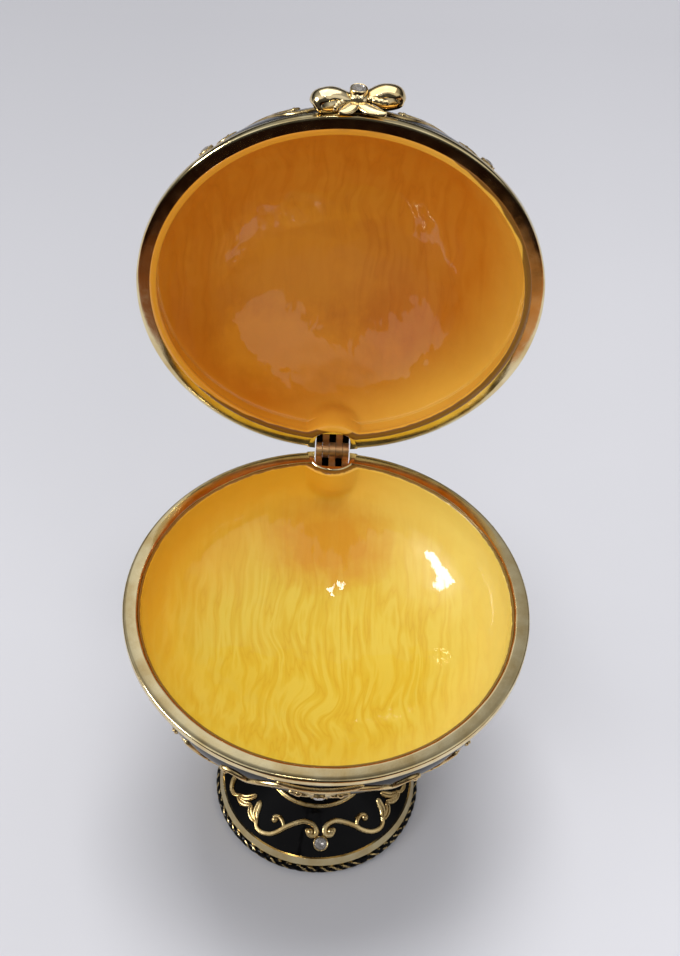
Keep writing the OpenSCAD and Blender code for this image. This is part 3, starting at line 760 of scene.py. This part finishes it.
def lipWarp(seed):
    # wavy edges, and a land that isn't quite flat
    look = castings

    def warp(v, rows):
        r = np.hypot(v[:, 0], v[:, 1])
        top = (v[:, 2] < 2.0) & (r > 27)
        p, r = v[top], r[top]
        level = p * np.array([1, 1, 0.1])
        inner = np.clip((look["edgeIn"] - r) / 0.6, 0, 1)
        shift = (ripple(level, look["edgeSize"], seed) * look["edgeWobble"] * inner
                 + ripple(level, look["wobbleSize"], seed + 1) * look["wobble"]
                 - np.clip(r - look["rimFrom"] - 0.3, 0, 1) * look["rimPull"])
        shift = np.where(r > look["rimFrom"], np.minimum(shift, 0), shift)
        v[top, :2] *= (1 + shift / r)[:, None]
        flat = np.clip(1 - v[top, 2] / look["dentDeep"], 0, 1)
        v[top, 2] += (0.5 + 0.5 * ripple(p, look["dentSize"], seed + 2)) * look["dents"] * flat
        return v
    return warp


def makeCasting(name, hollow, dome, seed):
    look = castings
    shell = [(r, z + box["lipH"]) for r, z in dome]
    obj = makeObject(name, *revolve(hollow + look["lip"] + shell, backwardAngles(look["turns"]), lipWarp(seed)))
    verts, faces = revolve(look["boss"], evenAngles(96))
    verts[:, 1] += box["pinY"]
    boss = makeObject("boss", verts, faces)
    trim = makeObject("trim", *revolve(drum(look["bossWithin"], -1.0, 6.0), backwardAngles(360)))
    carve(boss, trim, "INTERSECT")
    carve(obj, boss, "UNION")
    # the leaf's pocket, with rounded corners
    verts, faces = revolve(drum(1.0, -1.0, look["pocketDeep"]), evenAngles(96))
    n = look["pocketCorner"]
    reach = np.maximum((np.abs(verts[:, :2]) ** n).sum(1), 1e-6) ** (-1 / n)
    verts[:, :2] *= reach[:, None] * look["pocket"]
    verts[:, 1] += box["pinY"]
    carve(obj, makeObject("pocket", verts, faces), "DIFFERENCE")
    obj.data.shade_smooth()
    obj.data.set_sharp_from_angle(angle=radians(look["sharp"]))
    return obj


def makeCastings():
    look = castings
    bowl = makeCasting("bowlGoldCasting", domePath(*look["bowlIn"])[::-1], domePath(*look["bowlOut"]), 31)
    for v in bowl.data.vertices:
        v.co.z = box["rimZ"] * mm - v.co.z
    bowl.data.flip_normals()
    lid = makeCasting("lidGoldCasting", ballPath(*look["lidIn"]), domePath(*look["lidOut"]), 47)
    settle(bowl, "base", "gold_casting", "bowl_casting", goldLip)
    settle(lid, "lid", "gold_casting", "lid_casting", goldLip)


makeCastings()
print("castings made")

# scroll relief: the same strands as in the CAD model, with a rounded section
fields = dict(
    footLow=(15.6, 3.0), footHigh=(8.6, 6.7),  # radius and height
    bowlDome=(29.0, 20.0, 14.7), lidDome=(29.0, 22.9, 10.0), belt=12.5, beltFrom=1.0, bowlTop=0.86,
)


def around(r, ang, z):
    return Vector((r * sin(ang), -r * cos(ang), z))


def footAt(ang, q, up):
    (r0, z0), (r1, z1) = fields["footLow"], fields["footHigh"]
    slope = (z1 - z0) / (r0 - r1)
    tilt = atan(slope)
    r = r0 + (r1 - r0) * q
    return around(r + up * sin(tilt), ang, z0 + (r0 - r) * slope + up * cos(tilt))


def bowlAt(ang, q, up):
    down = fields["beltFrom"] + fields["belt"] * (fields["bowlTop"] - q)
    r, d, n = domeAt(*fields["bowlDome"], down)
    return around(r + up * cos(n), ang, box["rimZ"] - box["lipH"] - d - up * sin(n))


def lidAt(ang, q, up):
    r, d, n = domeAt(*fields["lidDome"], fields["beltFrom"] + fields["belt"] * q)
    return around(r + up * cos(n), ang, box["lipH"] + d + up * sin(n))


def standOn(field, ang, q):
    foot = field(ang, q, 0)
    return foot, (field(ang, q, 1) - foot).normalized()


# each strand's points, width share, end width and vein; beads as a point and a size share
scrolls = dict(
    strands=[
        (((0.13, 0.50), (0.18, 0.54), (0.13, 0.43), (0.06, 0.46), (0.06, 0.58), (0.13, 0.68), (0.24, 0.70),
          (0.36, 0.61), (0.46, 0.47), (0.52, 0.33), (0.60, 0.20), (0.70, 0.14), (0.78, 0.19), (0.82, 0.30)),
         1.0, 0.6, 0.16),
        (((0.47, 0.44), (0.52, 0.55), (0.59, 0.60), (0.65, 0.56), (0.62, 0.49)), 0.85, 0.6, 0.0),
        (((0.81, 0.26), (0.88, 0.36), (0.92, 0.48), (0.95, 0.60)), 1.35, 0.35, 0.35),
        (((0.80, 0.22), (0.88, 0.24), (0.95, 0.30), (1.0, 0.40)), 1.2, 0.35, 0.35)],
    beads=[((0.63, 0.505), 1.2), ((0.135, 0.505), 1.3)], beadRows=6, beadTurns=14, beadWrap=0.62,
    beadLift=0.15, crescent=((-0.27, 0.80), (-0.15, 0.72), (0.0, 0.68), (0.15, 0.72), (0.27, 0.80)),
    crescentWide=0.8, crescentEnd=0.3, wide=0.48, high=0.52, root=0.12, steps=6, section=10,
)


def smoothLine(points, steps):
    pts = [np.array(p, float) for p in points]
    out = []
    for i in range(len(pts) - 1):
        a, b, c, d = pts[max(i - 1, 0)], pts[i], pts[i + 1], pts[min(i + 2, len(pts) - 1)]
        for k in range(steps):
            t = k / steps
            out.append(0.5 * (2 * b + (c - a) * t + (2 * a - 5 * b + 4 * c - d) * t * t
                              + (3 * b - a - 3 * c + d) * t ** 3))
    return out + [pts[-1]]


def addStrand(verts, faces, field, points, start, half, wide, thin, vein, tall=1.0):
    # a swelling strand with rounded ends; a vein is a groove along its middle
    line = smoothLine(points, scrolls["steps"])
    n, m = len(line), scrolls["section"]
    high, root = scrolls["high"] * tall, scrolls["root"]
    first = len(verts)
    for i, here in enumerate(line):
        before, after = line[max(i - 1, 0)], line[min(i + 1, n - 1)]
        foot, out = standOn(field, start + half * here[0], here[1])
        along = field(start + half * after[0], after[1], 0) - field(start + half * before[0], before[1], 0)
        side = out.cross(along.normalized()).normalized()
        share = i / (n - 1)
        w = wide * (thin + (1 - thin) * sin(pi * (0.10 + 0.80 * share)))
        tip = min(share, 1 - share) * (n - 1)
        rounded = sqrt(max(1 - max(1 - tip / 3, 0) ** 2, 0.0))
        w *= 0.25 + 0.75 * rounded
        h = high * (0.35 + 0.65 * rounded)
        for k in range(m + 1):
            t = pi * k / m
            across = -cos(t)
            rise = sin(t) ** 0.75 * (1 - vein * exp(-(across / 0.28) ** 2))
            verts.append(tuple(foot + side * (w * across) + out * (-root + (h + root) * rise)))
    skinSections(faces, first, n, m + 1)


def addBead(verts, faces, field, ang, q, radius):
    foot, out = standOn(field, ang, q)
    spin = out.to_track_quat("Z", "Y")
    path = ballPath(radius, radius * scrolls["beadLift"], scrolls["beadWrap"] * pi, scrolls["beadRows"])
    path.append((0.0, path[-1][1]))
    addPart(verts, faces, revolve(path, evenAngles(scrolls["beadTurns"])), foot, spin)


def unitAngles(look):
    return evenAngles(look["units"]) + radians(look["firstDeg"])


def scrollRelief(look):
    verts, faces = [], []
    field, wide = look["field"], scrolls["wide"]
    half = pi / look["units"]
    for start in unitAngles(look):
        for h in (half, -half):
            for points, share, thin, vein in scrolls["strands"]:
                addStrand(verts, faces, field, points, start, h, wide * share, thin, vein, look["tall"])
            for (x, q), share in scrolls["beads"]:
                addBead(verts, faces, field, start + h * x, q, wide * share * look["tall"])
    if field is bowlAt:
        addStrand(verts, faces, field, scrolls["crescent"], 0.0, half, scrolls["crescentWide"],
                  scrolls["crescentEnd"], 0.0)
    return verts, faces


reliefs = dict(
    foot=dict(field=footAt, units=3, firstDeg=4.0, tall=1.0, body="base"),
    bowl=dict(field=bowlAt, units=4, firstDeg=0.0, tall=0.9, body="base"),
    lid=dict(field=lidAt, units=4, firstDeg=45.0, tall=0.6, body="lid"),
)
for name, look in reliefs.items():
    obj = makeObject(name + "ScrollRelief", *scrollRelief(look), 60)
    settle(obj, look["body"], "gold_trim", name + "_scrolls", goldTrim)
print("scroll relief laid")

# cut stones and their settings
stone = dict(
    radius=1.0, table=0.56, upper=0.84, lower=0.5, between=0.62, girdle=0.1, crown=0.44,
    deep=0.4, lift=0.24, place=0.28, setting=(1.0, -0.28, 0.36), settingTurns=28,
    claws=8, clawAt=(1.1, 0.36), clawR=0.13, clawRows=6, clawTurns=8, clawTurn=0.2,
)


def cutStone():
    # a round cut as the hull of its corners, and which faces are clear; those below the girdle are foiled
    def corner(share, a, z):
        r = share * stone["radius"]
        return (r * cos(a), r * sin(a), z)

    high, deep, between = (stone[k] for k in ("crown", "deep", "between"))
    bm = bmesh.new()
    for k in range(8):
        a = pi * k / 4
        b = a + pi / 8
        bm.verts.new(corner(stone["table"], a, high))
        bm.verts.new(corner(stone["upper"], b, between * high))
        bm.verts.new(corner(stone["lower"], b, -between * deep))
    for a in evenAngles(16):
        bm.verts.new(corner(1.0, a, stone["girdle"]))
        bm.verts.new(corner(1.0, a, 0.0))
    bm.verts.new((0, 0, -deep))
    bmesh.ops.convex_hull(bm, input=bm.verts)
    bmesh.ops.dissolve_limit(bm, angle_limit=0.01, verts=bm.verts, edges=bm.edges)
    bm.verts.index_update()
    verts = [v.co + Vector((0, 0, stone["lift"])) for v in bm.verts]
    faces = [[v.index for v in f.verts] for f in bm.faces]
    clear = [f.calc_center_median().z > 0.02 for f in bm.faces]
    bm.free()
    return verts, faces, clear


cutShape = cutStone()


def settingRing(radius, low, high):
    # a thin wall with a rounded rim that holds the stone
    wall = radius + 0.25
    path = [(radius - 0.12, low), (wall, low), (wall, high - 0.16), (wall - 0.05, high - 0.03),
            (radius + 0.125, high + 0.02), (radius + 0.03, high - 0.03), (radius + 0.005, high - 0.12),
            (radius - 0.12, high - 0.3)]
    return revolve(path, evenAngles(stone["settingTurns"]))


def makeStones(name, spots, body, node):
    # spots hold where each stone stands and how it is turned
    verts, faces = [], []
    for spot in spots:
        addPart(verts, faces, cutShape, *spot)
    stones = makeObject(name, verts, faces)
    stones.data.shade_flat()
    settle(stones, body, "crystal", node, crystalGlass, crystalFoil)
    twoTone(stones, cutShape[2] * len(spots))
    return stones


def stonesOn(name, look):
    spots, verts, faces = [], [], []
    claw = revolve(ballPath(stone["clawR"], 0.0, pi, stone["clawRows"]), evenAngles(stone["clawTurns"]))
    reach, high = stone["clawAt"]
    for ang in unitAngles(look):
        foot, out = standOn(look["field"], ang, stone["place"])
        turn = out.to_track_quat("Z", "Y").to_matrix()
        spots.append((foot, turn))
        addPart(verts, faces, settingRing(*stone["setting"]), foot, turn)
        for a in evenAngles(stone["claws"]) + stone["clawTurn"]:
            at = Vector((reach * cos(a), reach * sin(a), high))
            addPart(verts, faces, claw, foot + turn @ at, turn)
    makeStones(name + "CutStones", spots, look["body"], name + "_stones")
    rims = makeObject(name + "StoneSettings", verts, faces, 50)
    settle(rims, look["body"], "gold_trim", name + "_collets", goldTrim)


for name, look in reliefs.items():
    stonesOn(name, look)
print("stones set")

ropeEdge = dict(
    radius=16.4, inside=16.29, z=0.7, thick=0.64, strands=60, steps=8, rows=15, wrap=0.53,
    slant=1.9, groove=0.2, round=0.6, goldShare=0.965, wear=9.0, wearShare=0.12,
)


def makeRopeEdge():
    look = ropeEdge
    turns, rows = look["strands"] * look["steps"], look["rows"]
    verts, faces, gold = [], [], []

    def swell(k, i):
        s = look["wrap"] * pi * (2 * i / (rows - 1) - 1)
        a = 2 * pi * k / turns
        return a, s, abs(sin(0.5 * look["strands"] * a + look["slant"] * s)) ** look["round"]

    for k in range(turns):
        for i in range(rows):
            a, s, wave = swell(k, i)
            t = look["thick"] - look["groove"] * (1 - wave)
            r = max(look["radius"] + t * cos(s), look["inside"])
            verts.append((r * cos(a), r * sin(a), look["z"] + t * sin(s)))
    for k in range(turns):
        j = (k + 1) % turns
        for i in range(rows):
            n = (i + 1) % rows
            faces.append((k * rows + i, j * rows + i, j * rows + n, k * rows + n))
            a, s, wave = swell(k + 0.5, i + 0.5)
            worn = noise.noise(Vector((cos(a), sin(a), 0.2 * s)) * look["wear"])
            gold.append(wave > look["goldShare"] + look["wearShare"] * worn)
    obj = makeObject("footRopeEdge", verts, faces, 70)
    settle(obj, "base", "gold_trim", "foot_rope_edge", goldTrim, blackEnamel)
    twoTone(obj, gold)


makeRopeEdge()
print("rope edge twisted")

stemLine = dict(
    inner=7.6, outer=8.52, z=6.7, bead=0.3, beadUp=0.2, goldIn=0.2, high=0.8,
    fillet=[(7.9, 0.38), (7.72, 0.6)],
)


def makeStemRing():
    # a thin gold line outside a black fillet
    look = stemLine
    mid, z = look["outer"] - look["bead"], look["z"]
    path = [(look["inner"], z), (look["outer"], z)]
    path += [(mid + look["bead"] * cos(t), z + look["beadUp"] + look["bead"] * sin(t))
             for t in np.linspace(-0.6, 2.4, 10)]
    path += [(r, z + up) for r, up in look["fillet"]] + [(look["inner"], z + look["high"])]
    obj = makeObject("stemGoldLine", *revolve(path, evenAngles(180)), 50)
    settle(obj, "base", "gold_trim", "stem_ring", goldTrim, blackLacquerAndGapShade)
    twoTone(obj, [hypot(*poly.center[:2]) > (mid - look["goldIn"]) * mm for poly in obj.data.polygons])


makeStemRing()
print("stem line laid")

# the bow on the lid's front, in the closed lid's frame: x aside, out from the lip, z up from the knot's middle
bow = dict(
    out=30.7, mid=3.35, turn=2.0, half=5.75, root=0.8, outward=1.1, inward=0.85,
    wide=3.2, gather=1.9, thick=1.0, puff=0.5, tilt=14.0, wave=0.10, stations=56, across=10,
    loopFrom=0.16, knotR=1.5, knotHalf=1.7, knotRows=17, knotTurns=66, folds=11, foldDeep=0.05,
    stoneAt=(1.4, 0.15), setting=(1.0, -0.3, 0.4), studFrom=28.2, stud=(0.7, 0.0, 2.2),
)


def bowPoint(x, out, z, tilt=0.0):
    a = radians(tilt)
    x, z = x * cos(a) - z * sin(a), x * sin(a) + z * cos(a)
    a = radians(bow["turn"])
    y = -bow["out"] - out
    return (x * cos(a) - y * sin(a), x * sin(a) + y * cos(a), bow["mid"] + z)


def addRibbon(verts, faces, stations, across, tilt=0.0):
    # stations hold a middle, a side way, an outward way, a width, a bulge and a thickness
    first = len(verts)
    for middle, side, out, wide, puff, thick in stations:
        for face in (1, -1):
            for k in range(across + 1):
                s = (-1 + 2 * k / across) * face
                body = thick / 2 * (0.35 + 0.65 * sqrt(max(1 - s * s, 0)))
                p = middle + side * (s * wide / 2) + out * (puff * (1 - s * s) + face * body)
                verts.append(bowPoint(*p, tilt))
    skinSections(faces, first, len(stations), 2 * (across + 1))


def loopStations(way):
    # a drop-shaped loop that leaves the knot outward and comes back along the lip
    line, result = [], []
    for i in range(bow["stations"]):
        t = bow["loopFrom"] + 2 * (pi - bow["loopFrom"]) * i / (bow["stations"] - 1)
        lift = sin(t) * sin(t / 2) / 0.77
        x = bow["root"] + (bow["half"] - bow["root"]) * (1 - cos(t)) / 2
        line.append((way * x, lift * (bow["outward"] if lift > 0 else bow["inward"]), t))
    for i, (x, out, t) in enumerate(line):
        before, after = Vector(line[max(i - 1, 0)]), Vector(line[min(i + 1, len(line) - 1)])
        along = (after - before).to_2d().normalized()
        normal = Vector((-along.y, along.x, 0)) * way
        spread = sin(t / 2) ** 0.7
        wide = bow["gather"] + (bow["wide"] - bow["gather"]) * spread
        middle = Vector((x, out, bow["wave"] * sin(5 * t) * spread))
        puff = bow["puff"] * spread * (1.0 if out > 0 else 0.3)
        result.append((middle, Vector((0, 0, 1)), normal, wide, puff, bow["thick"]))
    return result


# tails: route from the knot over the lip as (x, out, z), width at the middle, ribs along it
tails = [
    ([(-0.9, 0.35, -0.8), (-2.0, 0.5, -1.6), (-2.8, 0.45, -2.6), (-3.1, 0.25, -3.6)], 1.1, 6),
    ([(-0.2, 0.1, -1.0), (-0.9, 0.15, -2.1), (-1.7, 0.05, -3.2), (-2.5, 0.0, -4.1)], 2.2, 0),
    ([(0.7, 0.4, -0.4), (1.8, 0.55, -0.6), (3.0, 0.5, -1.0), (4.2, 0.35, -1.2)], 1.1, 5),
    ([(0.3, 0.1, -1.0), (1.2, 0.1, -2.0), (2.5, 0.05, -2.9), (3.9, 0.0, -3.6)], 2.4, 0),
]
tailShape = dict(steps=10, across=8, thick=0.42, puff=0.22, ribPuff=(0.2, 0.14), pointFrom=0.55)


def tailStations(route, fullWide, ribs):
    line = [Vector(p) for p in smoothLine(route, tailShape["steps"])]
    result = []
    for i, here in enumerate(line):
        along = (line[min(i + 1, len(line) - 1)] - line[max(i - 1, 0)]).normalized()
        side = along.cross(Vector((0, 1, 0))).normalized()
        out = side.cross(along).normalized()
        if out.y < 0:
            out = -out
        share = i / (len(line) - 1)
        wide = fullWide * (0.55 + 0.45 * sin(pi * min(share * 0.9 + 0.1, 1)))
        puff = tailShape["puff"]
        if ribs:
            beat = abs(sin(pi * ribs * share))
            wide *= 0.86 + 0.14 * beat
            puff = tailShape["ribPuff"][0] + tailShape["ribPuff"][1] * beat
        else:
            wide *= sqrt(max(1 - max(share - tailShape["pointFrom"], 0) ** 2 / 0.2026, 0.02))
        result.append((here, side, out, wide, puff, tailShape["thick"]))
    return result


def knotFold(v, rows):
    # gathers in the knot's cloth
    a = np.arctan2(v[:, 1], v[:, 0])
    v[:, :2] *= (1 + bow["foldDeep"] * np.cos(bow["folds"] * a))[:, None]
    return np.array([bowPoint(x, -y, z) for x, y, z in v])


def bowPiece(name, verts, faces, node):
    return settle(makeObject(name, verts, faces, 60), "lid", "gold_trim", node, goldBow)


def makeBow():
    verts, faces = [], []
    for way in (1, -1):
        addRibbon(verts, faces, loopStations(way), bow["across"], bow["tilt"])
    pieces = [bowPiece("bowLoops", verts, faces, "bow_ribbon")]
    verts, faces = [], []
    for tail in tails:
        addRibbon(verts, faces, tailStations(*tail), tailShape["across"])
    pieces.append(bowPiece("bowTails", verts, faces, "bow_tails"))
    path = [(bow["knotR"] * max(1 - abs(s) ** 3.4, 0.0) ** 0.45, bow["knotHalf"] * s)
            for s in np.linspace(-1, 1, bow["knotRows"])]
    verts, faces = revolve(path, evenAngles(bow["knotTurns"]), knotFold)
    verts = [tuple(v) for v in verts]
    spin = Matrix.Rotation(radians(bow["turn"]), 3, "Z") @ Matrix.Rotation(radians(90), 3, "X")
    out, up = bow["stoneAt"]
    base = Vector(bowPoint(0, out, up))
    addPart(verts, faces, settingRing(*bow["setting"]), base, spin)
    inner = Vector(bowPoint(0, bow["studFrom"] - bow["out"], 0))
    stud = revolve(drum(*bow["stud"]), evenAngles(stone["settingTurns"]))
    addPart(verts, faces, stud, inner, spin)
    pieces.append(bowPiece("bowKnot", verts, faces, "bow_knot"))
    pieces.append(makeStones("bowCutStone", [(base, spin)], "lid", "bow_stone"))
    linkLamps("glintOn", ["glint"], pieces, "INCLUDE")


makeBow()
print("bow tied")

hingePin = dict(
    radius=0.45, half=2.6, gapShade=1.16, gapShadeFrom=0.55, gaps=(-1.578, -0.526, 0.526, 1.578), thick=0.03,
)


def makePin():
    # the pin, with a thin black ring of painted shade in each gap between the knuckles
    r, gapShade, half = hingePin["radius"], hingePin["gapShade"], hingePin["half"]
    path = [(0.0, -half), (r, -half)]
    for at in hingePin["gaps"]:
        a, b = at - hingePin["thick"] / 2, at + hingePin["thick"] / 2
        path += [(r, a), (gapShade, a), (gapShade, b), (r, b)]
    path += [(r, half), (0.0, half)]
    verts, faces = revolve(path, evenAngles(48))
    verts = np.stack([verts[:, 2], verts[:, 0] + box["pinY"], verts[:, 1] + box["pinZ"]], 1)
    obj = makeObject("hingePinWithGapShade", verts, faces, 30)
    settle(obj, "base", "hinge_bronze", "hinge_pin", hingeBronze, blackLacquerAndGapShade)
    bareReach = hingePin["gapShadeFrom"] * mm
    twoTone(obj, [(poly.center - pinAt).yz.length <= bareReach for poly in obj.data.polygons])


# edges of a strip and their blur, edge of the barrel and its blur, in mm, and the tone of the painted shade
# between the strips
hingeStrips = dict(edges=(0.53, 1.58, 0.06, 1.3, 0.1), gapShade=lin(12, 8, 5))


def hingeFinish(name, lidSide):
    # painted shade: the plate between a leaf's strips is painted dark where the real leaf has open gaps
    mat = hingeBronze.copy()
    mat.name = name
    startTree(mat)
    shader = mat.node_tree.nodes["Principled BSDF"]
    x, y, z = parts(objectCoords())
    x = math2("ABSOLUTE", x)
    inner, outer, blur, barrel, barrelBlur = (v * mm for v in hingeStrips["edges"])
    strip = times(rangeOf(x, inner - blur, inner + blur), rangeOf(x, outer - blur, outer + blur, 1.0, 0.0))
    gap = math2("SUBTRACT", 1.0, strip) if lidSide else strip
    away = vector2("DISTANCE", addNode("CombineXYZ", Y=y, Z=z).outputs[0], i1=pinAt)[1]
    gap = times(gap, rangeOf(away, barrel, barrel + barrelBlur))
    bronze = shader.inputs["Base Color"].links[0].from_socket
    feed(shader, color=mixColor(gap, bronze, hingeStrips["gapShade"]))
    return mat


makePin()
print("hinge pinned")

# CAD nodes that keep their shape
finishes = {
    "foot_casting": goldLip, "foot_enamel": blackEnamel, "stem": blackLacquerAndGapShade, "stem_knop": goldTrim,
    "bowl_calyx": goldTrim, "tie_rod": steelRod, "bowl_enamel": blackEnamel, "lid_enamel": lidEnamel,
    "hinge_lower_leaf": hingeFinish("lower leaf", False), "hinge_upper_leaf": hingeFinish("upper leaf", True),
}
wornEdge = dict(width=0.035, steps=2, fromDeg=40.0, joinWithin=0.001)
for name, material in finishes.items():
    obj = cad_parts[name]
    dress(obj, material)
    if name.startswith("hinge"):
        soft = obj.modifiers.new("worn edges", "BEVEL")
        soft.width = wornEdge["width"] * mm
        soft.segments = wornEdge["steps"]
        soft.angle_limit = radians(wornEdge["fromDeg"])
    elif name == "lid_enamel":
        # the top of the dome mirrors without a pinch
        obj.modifiers.new("joined top", "WELD").merge_threshold = wornEdge["joinWithin"] * mm
        obj.modifiers.new("even top", "WEIGHTED_NORMAL").mode = "FACE_AREA"
print("finishes on", len(finishes), "nodes")
